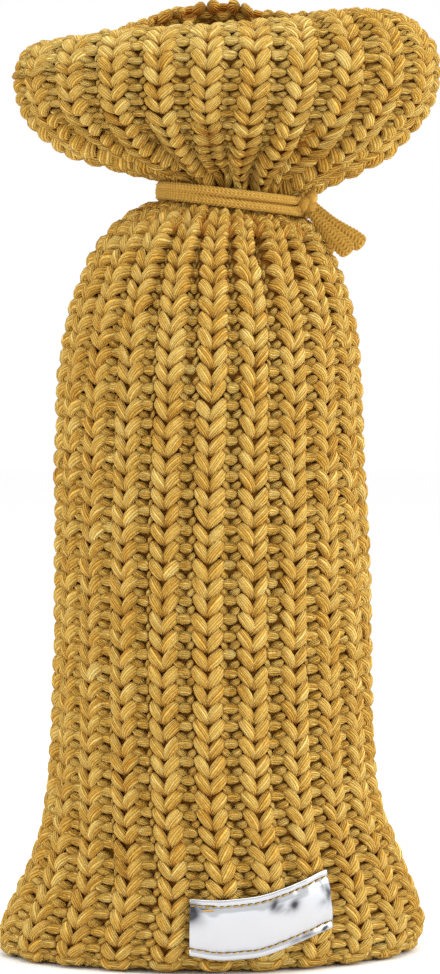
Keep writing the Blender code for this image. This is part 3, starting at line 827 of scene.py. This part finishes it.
def stitches(knit, lengths, tall, put, legs, inside=False, shade=0.0, only=slice(None)):
    """V stitches in every column and purl bumps in every furrow, a row at each length.

    The inside shows the cloth from behind, with its columns where the outside has its furrows.
    """
    furrows = ALL_WALES[only] + (0.5 if inside else 0.0)
    columns = furrows + 0.5
    between = ((INSIDE_BAR, BAR_UP),) if inside else (
        (BAR, BAR_UP), (SLANT, SLANT_UP), (mirrored(SLANT), SLANT_UP))
    for at in lengths:
        row = np.full(len(columns), at) + rng.normal(0.0, ROW_SPREAD, len(columns))
        for lump in legs:
            knit.add(lump, columns, row, put, tall, inside, False, shade)
        for lump, up in between:
            knit.add(lump, furrows, row + up * tall, put, tall, inside, True, shade)


# The bumps behind the edge's loops: their place in a column, up from the edge, and out.
EDGE_BARS = ((0.0, -3.0, -1.2), (0.5, -3.4, -3.4), (0.0, -4.2, -3.2))


def edge_loops(knit):
    """The bound-off edge: on each column a pair of plump loops that lean together, backed by lower ones."""
    for lump in (EDGE_LOOP, mirrored(EDGE_LOOP)):
        at = RIM_EDGE + rng.normal(0.4, 0.5, WALES)
        knit.add(lump, ALL_WALES + 0.5, at, SKIN.edge, shade=-0.3)
    for turn, up, deep in EDGE_BARS:
        lump = changed(BAR, (1.5, 1.2, 1.3), (0.0, 0.0, deep))
        at = np.full(WALES, RIM_EDGE + up) + rng.normal(0.0, 0.3, WALES)
        knit.add(lump, ALL_WALES + turn, at, SKIN.outside_flat, shade=-0.25)


GROUND_STEP, GROUND_PART = 3.2, 0.2  # the ground cloth's grid: mm up it, and parts of a column round it
FOOT_STEPS, FOOT_THICK = 8, 2.0  # its rings under the base, and its thickness there


def ground_cloth():
    """The cloth under the stitches, coloured dark as painted shade in the gaps: one closed skin, outside and
    inside, from the seam to the rim.
    """
    foot = np.linspace(SEAM, 0.0, FOOT_STEPS, endpoint=False)
    lengths = np.concatenate([foot, np.arange(0.0, RIM_EDGE - 1.0, GROUND_STEP), [RIM_EDGE]])
    place = np.arange(0.0, WALES, GROUND_PART)
    outer = [SKIN.ground(np.full(len(place), at), place) for at in lengths]
    inner = [SKIN.lining(np.full(len(place), at), place) for at in lengths]
    for below, above in zip(outer[:FOOT_STEPS + 1], inner):
        above[:, 2] = below[:, 2] + FOOT_THICK
    count, tall = len(place), len(lengths)
    skin = tube_faces(tall, count)
    top = np.arange(count) + (tall - 1) * count
    after = np.roll(top, -1)
    rim = np.column_stack([top, after, after + tall * count, top + tall * count])
    points = np.concatenate(outer + inner) * MM
    return mesh_object("ground_cloth", points, np.concatenate([skin, turned_over(skin) + tall * count, rim]),
                       ground_painted_shade_yarn, points[:, :2], np.full((len(points), 2), (0.5, 0.0)), False)


BODY_ROWS = int(round(BODY_TOP / ROW_MM))
BODY_LENGTHS = np.arange(BODY_ROWS) * BODY_TOP / BODY_ROWS
LOW_ROWS, MIDDLE_ROWS = 12, 29  # the body's lower pieces end before these rows
HEAD_ROW_MM, RIM_GAP = 4.75, 0.6  # the ruffle's row height, and the gap between its rows and its edge
HEAD_TALL = HEAD_ROW_MM / ROW_MM
HEAD_ROWS = int((RIM_EDGE - BODY_TOP) / HEAD_ROW_MM)
HEAD_LENGTHS = RIM_EDGE - HEAD_ROW_MM * (HEAD_ROWS - np.arange(HEAD_ROWS)) - RIM_GAP
NECK_ROWS, RIM_ROWS = 6, 6  # the ruffle's lowest rows, on its underside and painted darker as shade, and its uppermost ones
FOLDED_FRONT, FOLDED_LEFT = -6.0, 30.0  # a column is folded over whose rim lies before and left of these
UNDER_LENGTHS = np.arange(SEAM + 1.0, -1.0, ROW_MM)
CAST_ON = (0.2, 3.0)  # the lengths at which the cast-on edge's strands lie
CROWDED = (12.6, 7.2, 2.4)  # extra legs are crowded together this far below the tie
# The bumps just inside the rim: their place in a column, and up from the edge.
RIM_BARS = ((0.0, -1.2), (0.5, -1.6), (0.25, -3.6), (0.75, -3.8), (0.0, -5.8), (0.5, -6.0))


def knit_low(knit):
    """The body's foot, the rows turned in under it, and its cast-on edge."""
    stitches(knit, BODY_LENGTHS[:LOW_ROWS], 1.0, SKIN.outside, LEGS)
    stitches(knit, UNDER_LENGTHS, 1.0, SKIN.outside, LEGS)
    for up in CAST_ON:
        knit.add(LOBE, ALL_WALES + 0.5, np.full(WALES, up), SKIN.outside)


def knit_middle(knit):
    """The body's straight middle."""
    stitches(knit, BODY_LENGTHS[LOW_ROWS:MIDDLE_ROWS], 1.0, SKIN.outside, LEGS)


def knit_shoulder(knit):
    """The body's shoulder, with stitches crowded together just under the tie."""
    stitches(knit, BODY_LENGTHS[MIDDLE_ROWS:], 1.0, SKIN.outside, LEGS)
    for up in CROWDED:
        for leg in LEGS:
            lump = changed(leg, (0.9, 1.0, 1.0), (0.0, 0.0, -1.3))
            at = BODY_TOP - up + rng.normal(0.0, 0.7, WALES)
            knit.add(lump, ALL_WALES + rng.normal(0.0, 0.10, WALES), at, SKIN.outside_flat, shade=-0.1)


def knit_ruffle(knit):
    """The ruffle's outside. Its lowest rows are painted darker as shade on its underside, and its folded
    front edge has wider stitches painted lighter as a highlight where light from above catches its fuzz.
    """
    rim = HEAD_LENGTHS[-RIM_ROWS:]
    # painted shade: the lowest rows, facing down, are painted darker
    stitches(knit, HEAD_LENGTHS[:NECK_ROWS], HEAD_TALL, SKIN.ruffle, HEAD_LEGS, shade=-0.15)
    stitches(knit, HEAD_LENGTHS[NECK_ROWS:-RIM_ROWS], HEAD_TALL, SKIN.ruffle, HEAD_LEGS)
    crest = SKIN.outside_flat(np.full(WALES, HEAD_LENGTHS[-4]), ALL_WALES + 0.5, np.zeros(WALES))
    folded = (crest[:, 1] < FOLDED_FRONT) & (crest[:, 0] < FOLDED_LEFT)
    stitches(knit, rim, HEAD_TALL, SKIN.ruffle, HEAD_LEGS, only=~folded)
    # painted highlight: the folded front edge's stitches are painted lighter where light from above catches
    # their fuzz
    stitches(knit, rim, HEAD_TALL, SKIN.ruffle, FOLD_LEGS, shade=0.4, only=folded)


def knit_ruffle_inside(knit):
    """The ruffle's inside and its bound-off edge, backed by bumps just inside it."""
    stitches(knit, HEAD_LENGTHS, HEAD_TALL, SKIN.inside, INSIDE_LEGS, True)
    edge_loops(knit)
    lump = changed(INSIDE_BAR, (1.6, 1.15, 1.2), (0.0, 0.0, 0.0))
    for turn, up in RIM_BARS:
        knit.add(lump, ALL_WALES + turn, np.full(WALES, RIM_EDGE + up), SKIN.inside, inside=True, shade=-0.2)


def make_cover():
    """The knitted cover: the stitches outside and in the ruffle, on the ground cloth."""
    knits = []
    for name, fill in (
        ("knit_low", knit_low), ("knit_middle", knit_middle), ("knit_shoulder", knit_shoulder),
        ("knit_ruffle", knit_ruffle), ("knit_ruffle_inside", knit_ruffle_inside),
    ):
        knit = Knitting(name)
        fill(knit)
        knits.append(knit.make(yarn))
    ground = ground_cloth()
    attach(ground, "root")
    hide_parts("knit_cover")
    for piece in knits:
        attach(piece, "root")


make_cover()


# ---------------------------------------------------------------- the tie


RUN_WIDE, RUN_THICK = 1.32, 1.10  # half the flat cord's width and thickness
TURNS = (  # each turn's height at the neck's left, front and right, and how far it stands out there
    (244.0, 240.5, 238.4, 0.0, 0.2, 0.4),
    (242.4, 238.8, 236.7, 0.2, -1.2, -1.3),
    (240.9, 237.1, 235.0, 0.1, 0.2, 0.5),
)
TURN_ANGLES = (338.0, -18.0)  # a turn starts at the knot, runs all round the neck and ends there
NECK_SHIFT, NECK_WIDTH, NECK_DEPTH = 3.9, 21.8, 21.8
# The ends leave the front turns just before the knot, pass through it and hang side by side.
END_PATHS = (
    ((14.6, -20.4, 236.4), (19.6, -17.4, 235.8), (24.4, -12.8, 235.8), (27.2, -10.2, 236.0),
     (29.4, -11.2, 234.2), (34.4, -12.8, 229.0), (41.0, -15.4, 221.9)),
    ((14.0, -20.8, 239.4), (19.2, -17.8, 238.8), (24.2, -12.8, 238.8), (28.0, -9.4, 238.4),
     (30.8, -10.0, 236.0), (36.8, -11.4, 230.4), (45.3, -13.4, 224.5)),
)
END_WIDTHS = (0.8, 0.8, 0.8, 1.2, 1.5, 1.7, 2.1, 2.7, 3.1, 2.8)  # half an end's width, at even steps along it
KNOT_WRAPS = (  # each wrap's middle, how far it reaches level and upright, and its axis
    ((28.9, -9.9, 239.4), 1.5, 1.6, (0.92, -0.30, -0.20)),
    ((26.5, -11.0, 237.4), 1.5, 1.7, (0.80, -0.25, -0.45)),
    ((28.5, -10.2, 236.6), 1.3, 1.20, (0.60, -0.20, -0.75)),
)
WRAP_TURNS = 1.04  # a wrap's ends overlap


def smooth_path(points, step):
    """A smooth path through points, even steps apart."""
    points = np.asarray(points, float)
    padded = np.vstack([2 * points[0] - points[1], points, 2 * points[-1] - points[-2]])
    made = []
    for i in range(len(points) - 1):
        a, b, c, d = padded[i:i + 4]
        t = np.linspace(0.0, 1.0, 24, endpoint=False)[:, None]
        curve = (c - a) * t + (2 * a - 5 * b + 4 * c - d) * t**2 + (3 * b - a - 3 * c + d) * t**3
        made.append(b + 0.5 * curve)
    line = np.vstack(made + [points[-1:]])
    length = np.concatenate([[0.0], np.cumsum(np.linalg.norm(np.diff(line, axis=0), axis=1))])
    at = np.linspace(0.0, length[-1], int(length[-1] / step) + 1)
    return np.column_stack([np.interp(at, length, line[:, k]) for k in range(3)]), at


def carried_frames(path):
    """Two side vectors at each point of a path, carried along it without twist."""
    ahead = unit(np.gradient(path, axis=0))
    side = np.cross(ahead[0], (0.0, 0.0, 1.0))
    if np.linalg.norm(side) < 0.1:
        side = np.cross(ahead[0], (1.0, 0.0, 0.0))
    sides = []
    for a in ahead:
        side = side - a * side.dot(a)
        side = side / np.linalg.norm(side)
        sides.append(side)
    sides = np.array(sides)
    return sides, np.cross(ahead, sides)


CORD_SIDES, CORD_STEP = 20, 0.25
PLAIT_MM, PLAIT_RISE, PLAIT_COLUMNS = 1.25, 0.26, 1.5  # a plait's length, its ridges' height, plaits across
PLAIT_GROOVE, PLAIT_SLANT = 0.16, 4.6  # the depth between plaits, and how far a ridge leans
SQUARE = 0.85  # below 1, the cord's section is squarer than an ellipse
TIP_POWER = 2.5  # how roundly a cut end closes


def tube_lump(count, sides):
    """A tube of count rings whose points are still to be set, its ends closed with triangles."""
    last = (count - 1) * sides
    caps = [(0, 0, i + 1, i) for i in range(1, sides - 1)]
    caps += [(last, last, last + i, last + i + 1) for i in range(1, sides - 1)]
    return {
        "points": np.zeros((count * sides, 3)),
        "faces": np.vstack([tube_faces(count, sides), caps]),
        "round": np.tile(np.arange(sides) / sides, count),
        "along": np.repeat(np.linspace(0.0, count * 0.12, count), sides),
    }


def add_cord(knit, points, across, half_wide, half_thick, shade=0.0, tip=0.0, plaited=1.0):
    """A flat plaited cord along a path. across is its flat side's direction; its face has plaited ridges."""
    path, at = smooth_path(points, CORD_STEP)
    ahead = unit(np.gradient(path, axis=0))
    across = np.broadcast_to(np.asarray(across, float), path.shape)
    wide = unit(across - ahead * (across * ahead).sum(axis=1)[:, None])
    thick = np.cross(ahead, wide)
    cos, sin = np.cos(circle(CORD_SIDES))[None, :], np.sin(circle(CORD_SIDES))[None, :]
    flat = np.sign(cos) * np.abs(cos) ** SQUARE
    deep = np.sign(sin) * np.abs(sin) ** SQUARE
    half_wide = np.atleast_1d(half_wide)
    half_wide = np.interp(at, np.linspace(0.0, at[-1], len(half_wide)), half_wide)[:, None]
    column = np.abs((flat * PLAIT_COLUMNS) % 1.0 - 0.5) * 2.0
    ridge = PLAIT_RISE * plaited * np.sin(2.0 * math.pi * at[:, None] / PLAIT_MM + PLAIT_SLANT * column)
    groove = PLAIT_GROOVE * plaited * np.cos(2.0 * math.pi * flat * PLAIT_COLUMNS)
    if tip:
        left = np.clip((at[-1] - at) / tip, 0.02, 1.0)[:, None]
        closing = (1.0 - (1.0 - left) ** TIP_POWER) ** 0.5
        half_wide, half_thick = half_wide * closing, half_thick * closing
    out = 1.0 + (ridge - groove) / half_thick * np.minimum(half_thick, 1.0)
    swell = 1.0 + 0.05 * ridge / PLAIT_RISE
    rings = path[:, None] + wide[:, None] * (half_wide * flat * swell)[:, :, None]
    rings = rings + thick[:, None] * (half_thick * deep * out)[:, :, None]
    # painted shade: the cord's colour is darkened in the grooves between its plaits
    low = np.clip(0.42 - 0.6 * ridge / PLAIT_RISE + 0.2 * groove / PLAIT_GROOVE, 0.0, 1.0)
    knit.take(rings.reshape(-1, 3), tube_lump(len(path), CORD_SIDES), 1, shade, low.ravel())
    return path


def turn_path(turn):
    """One turn of the tie round the neck, from the knot all the way round to it."""
    z_left, z_front, z_right, out_left, out_front, out_right = turn
    angles = np.radians(np.linspace(*TURN_ANGLES, 60))
    left = 0.5 - 0.5 * np.cos(angles)
    front = np.clip(-np.sin(angles), 0.0, 1.0) ** 2
    z = z_right + (z_left - z_right) * left
    z += (z_front - 0.5 * (z_left + z_right)) * front
    out = out_right + (out_left - out_right) * left + (out_front - 0.5 * (out_left + out_right)) * front
    reach = RUN_THICK + 0.2 + out
    x = NECK_SHIFT + (NECK_WIDTH + reach) * np.cos(angles)
    y = (NECK_DEPTH + reach) * np.sin(angles)
    return np.column_stack([x, y, z])


def knot_wrap(middle, level, upright, axis):
    """A closed turn of cord round the knot."""
    axis = unit(np.array(axis))
    side = unit(np.cross(axis, (0.0, 1.0, 0.0)))
    toward = np.cross(axis, side)
    angles = np.linspace(0.0, 2.0 * math.pi * WRAP_TURNS, 18)[:, None]
    return np.array(middle) + side * upright * np.cos(angles) + toward * level * np.sin(angles)


KNOT_HEART = yarn_lump(
    [(-1.6, 0, 0), (-0.8, 0, 0), (0.8, 0, 0), (1.6, 0, 0)], (1.0, 2.1, 2.1, 1.0), (1.0, 2.0, 2.0, 1.0), 10)


def make_tie():
    """The flat plaited tie: three turns, the knot, and its two cut ends as free cords."""
    wraps = Knitting("tie_turns")
    for turn in TURNS:
        add_cord(wraps, turn_path(turn), (0.0, 0.0, 1.0), RUN_WIDE, RUN_THICK)
    for middle, level, upright, axis in KNOT_WRAPS:
        add_cord(wraps, knot_wrap(middle, level, upright, axis), axis, 1.50, 1.20, -0.5, plaited=0.3)
        wraps.take(KNOT_HEART["points"] + middle, KNOT_HEART, 1, -0.3)
    turns = wraps.make(cord_yarn)
    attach(turns, "root")
    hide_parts("tie_cord")
    for number, points in enumerate(END_PATHS):
        knit = Knitting(f"tie_end_{number + 1}")
        path = add_cord(knit, points, (0.6, 0.15, 0.8), END_WIDTHS, 0.9, -0.35, 1.6)
        end = knit.make(cord_yarn)
        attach(end, "root")


# ---------------------------------------------------------------- the silver strip


STRIP_COLUMNS = ("along", "low", "high")
STRIP_EDGES = (
    (0.00, 6.6, 24.1),
    (0.20, 4.7, 23.6),
    (0.50, 5.5, 24.8),
    (0.75, 9.3, 28.0),
    (1.00, 13.3, 31.8),
)
STRIP_FROM, STRIP_TO, STRIP_STEPS = -9.2, 34.6, 88
STRIP_SECTIONS = 9  # the strip lies on the cloth below this section
# Across the strip: the share of its height, and how far it stands out. It dips at the two sewn lines.
STRIP_PROFILE = (
    (0.000, 0.35), (0.012, 0.62), (0.050, 0.70), (0.085, 0.55), (0.105, 0.18), (0.120, 0.12), (0.138, 0.30),
    (0.165, 0.80), (0.220, 1.00), (0.320, 1.10), (0.440, 1.15), (0.560, 1.15), (0.680, 1.10), (0.780, 1.00),
    (0.835, 0.80), (0.862, 0.30), (0.880, 0.12), (0.895, 0.18), (0.915, 0.55), (0.950, 0.70), (0.988, 0.62),
    (1.000, 0.35),
)
STRIP_HEIGHTS, STRIP_STAND = np.array(STRIP_PROFILE).T
STRIP_THICK = 0.45
SEWN_LINES = (0.120, 0.880)
SLACK_LINE = 0.835  # one slack stitch lies here, beside the upper line
DASHES = np.arange(0.022, 0.985, 0.0495)  # the sewing's stitches along the strip
DASH_HALF, THREAD_HALF = 0.0185, 0.18  # half a stitch's length as a share of the strip's, and half its width
THREAD_SIDES = 6


def front_reach(x, z):
    """The front's outer reach, its y, at places across and up the base."""
    low, high = UNDER_STEPS * PER_RING, (UNDER_STEPS + STRIP_SECTIONS) * PER_RING
    middle = 0.5 * WALES
    places = np.arange(-0.45 * middle, 0.55 * middle, 1.0 / PER_WALE)
    columns = [int((place % WALES) * PER_WALE) for place in places]
    grid = SKIN.points[low:high][:, columns]
    reach = np.empty(x.shape)
    for i in np.ndindex(x.shape):
        at_x = np.array([np.interp(z[i], grid[:, k, 2], grid[:, k, 0]) for k in range(len(columns))])
        at_y = np.array([np.interp(z[i], grid[:, k, 2], grid[:, k, 1]) for k in range(len(columns))])
        reach[i] = np.interp(x[i], at_x, at_y)
    return reach


def strip_points():
    """The strip's front skin as a grid of points, its outward directions, and its height at each place."""
    share = np.linspace(0.0, 1.0, STRIP_STEPS + 1)
    table = rows(STRIP_EDGES, STRIP_COLUMNS)
    coarse = np.linspace(0.0, 1.0, 201)
    kernel = np.ones(31) / 31.0
    edge = {}
    for name in ("low", "high"):
        line = np.interp(np.linspace(-0.1, 1.1, 241), coarse, np.interp(coarse, table["along"], table[name]))
        edge[name] = np.interp(share, np.linspace(-0.1, 1.1, 241)[15:-15], np.convolve(line, kernel, "valid"))
    x = STRIP_FROM + (STRIP_TO - STRIP_FROM) * share
    up = STRIP_HEIGHTS[:, None]
    z = edge["low"] + (edge["high"] - edge["low"]) * up
    x = np.repeat(x[None], len(up), axis=0) + 0.25 * (up - 0.5)
    x = x - 2.2 * up**1.5 * share**5
    coarse_x, coarse_z = x[::3, ::4], z[::3, ::4]
    coarse_y = front_reach(coarse_x, coarse_z)
    y = np.empty(x.shape)
    known = np.arange(0, len(up), 3)
    for i in range(len(up)):
        near = [np.interp(x[i], coarse_x[k], coarse_y[k]) for k in range(len(coarse_x))]
        y[i] = [np.interp(i, known, [row[j] for row in near]) for j in range(x.shape[1])]
    points = np.stack([x, y - STRIP_THICK, z], axis=2)
    out = unit(np.cross(np.gradient(points, axis=1), np.gradient(points, axis=0)))
    low, high = SEWN_LINES
    pucker = 0.10 * np.sin(x * 1.35 + 2.0 * np.sin(0.3 * x)) * np.exp(-((up - low) / 0.10) ** 2)
    pucker = pucker + 0.10 * np.sin(x * 1.2 + 1.0) * np.exp(-((up - high) / 0.10) ** 2)
    wave = 0.16 * np.sin(0.42 * x + 4.0 * up) + 0.10 * np.sin(0.9 * x - 5.0 * up)
    panel = fade((up - low) / 0.15) * fade((high - up) / 0.15)
    return points + out * (STRIP_STAND[:, None] + pucker + wave * panel)[:, :, None], out, share


def add_dash(thread, line, out, share, at, half, radius):
    """One visible stitch of the sewing thread, at a place along a sewn line."""
    body = np.sqrt(np.maximum(1.0 - (0.9 * np.linspace(-1, 1, 5)) ** 2, 0.0))
    along = np.linspace(at - half, at + half, 5)
    middle = np.column_stack([np.interp(along, share, line[:, k]) for k in range(3)])
    middle += out[int(at * STRIP_STEPS)] * (0.08 + 0.16 * body)[:, None]
    middle[:, 2] += np.linspace(-0.12, 0.12, 5)
    side, up = carried_frames(middle)
    angle = circle(THREAD_SIDES)[:, None]
    round_it = side[:, None] * np.cos(angle) + up[:, None] * np.sin(angle)
    rings = middle[:, None] + radius * np.maximum(body, 0.45)[:, None, None] * round_it
    thread.take(rings.reshape(-1, 3), tube_lump(5, THREAD_SIDES), 1, -0.2)


def make_strip():
    """The bare silver strip, sewn on along its two long edges with ochre thread."""
    front, out, share = strip_points()
    back = front - out * STRIP_THICK
    tall, wide = front.shape[:2]
    points = np.concatenate([front.reshape(-1, 3), back.reshape(-1, 3)])
    grid = np.arange(tall * wide).reshape(tall, wide)
    quads = np.stack([grid[:-1, :-1], grid[:-1, 1:], grid[1:, 1:], grid[1:, :-1]], axis=2).reshape(-1, 4)
    faces = [quads, quads[:, ::-1] + tall * wide]
    rim = np.concatenate([grid[0, :-1], grid[:-1, -1], grid[-1, :0:-1], grid[:0:-1, 0]])
    after = np.roll(rim, -1)
    faces.append(np.column_stack([rim + tall * wide, after + tall * wide, after, rim]))
    uv = np.tile(np.stack(np.meshgrid(share, STRIP_HEIGHTS), axis=2).reshape(-1, 2), (2, 1))
    strip = mesh_object("silver_strip", points * MM, np.concatenate(faces), silver, uv)
    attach(strip, "root")
    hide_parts("label_strip")
    thread = Knitting("strip_sewing")
    for line in SEWN_LINES:
        row = int(np.argmin(np.abs(STRIP_HEIGHTS - line)))
        for at in DASHES + rng.normal(0.0, 0.0015, len(DASHES)):
            half = DASH_HALF + rng.normal(0.0, 0.0012)
            add_dash(thread, front[row], out[row], share, at, half, THREAD_HALF)
    slack = int(np.argmin(np.abs(STRIP_HEIGHTS - SLACK_LINE)))
    add_dash(thread, front[slack], out[slack], share, 0.128, 0.040, 0.30)
    sewing = thread.make(cord_yarn)
    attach(sewing, "root")


make_tie()
make_strip()


# ---------------------------------------------------------------- floor, light and camera


def area_light(name, where, target, size, power):
    """A soft white light that faces its target. Places and size in metres, power in watts."""
    data = bpy.data.lights.new(name, "AREA")
    data.shape = "RECTANGLE"
    data.size, data.size_y = size
    data.energy = power
    light = bpy.data.objects.new(name, data)
    bpy.context.scene.collection.objects.link(light)
    light.location = where
    light.rotation_euler = (Vector(target) - Vector(where)).to_track_quat("-Z", "Y").to_euler()


def stage_and_light():
    """The pale floor, the white surroundings and the soft lights."""
    points = np.array([(-6, -6, 0), (6, -6, 0), (6, 6, 0), (-6, 6, 0)], float)
    points[:, 2] = -0.0002
    pale = plain_material("floor", (0.99, 0.99, 0.99), 0.9)
    floor = mesh_object("floor", points, np.array([(0, 1, 2, 3)]), pale)
    world = bpy.data.worlds.new("surroundings")
    bpy.context.scene.world = world
    world.use_nodes = True
    world.node_tree.nodes["Background"].inputs["Color"].default_value = (1.0, 1.0, 1.0, 1.0)
    world.node_tree.nodes["Background"].inputs["Strength"].default_value = 1.0
    area_light("left_light", (-1.3, -0.5, 0.5), (0.0, 0.0, 0.16), (0.9, 1.2), 6.0)
    area_light("right_light", (1.3, -0.4, 0.7), (0.0, 0.0, 0.16), (0.9, 1.2), 13.0)
    area_light("top_light", (0.1, -0.3, 1.5), (0.0, 0.0, 0.2), (1.0, 1.0), 8.0)


def make_camera():
    """The photograph's view: level, one metre and two centimetres in front."""
    data = bpy.data.cameras.new("camera")
    data.sensor_width = 36.0
    data.lens = 117.81
    data.shift_y = -0.0996
    camera = bpy.data.objects.new("camera", data)
    bpy.context.scene.collection.objects.link(camera)
    camera.location = (0.0, -1.020, 0.17888)
    camera.rotation_euler = (math.radians(90.0), 0.0, 0.0)
    bpy.context.scene.camera = camera


stage_and_light()
make_camera()
bpy.context.scene.view_settings.view_transform = "Standard"
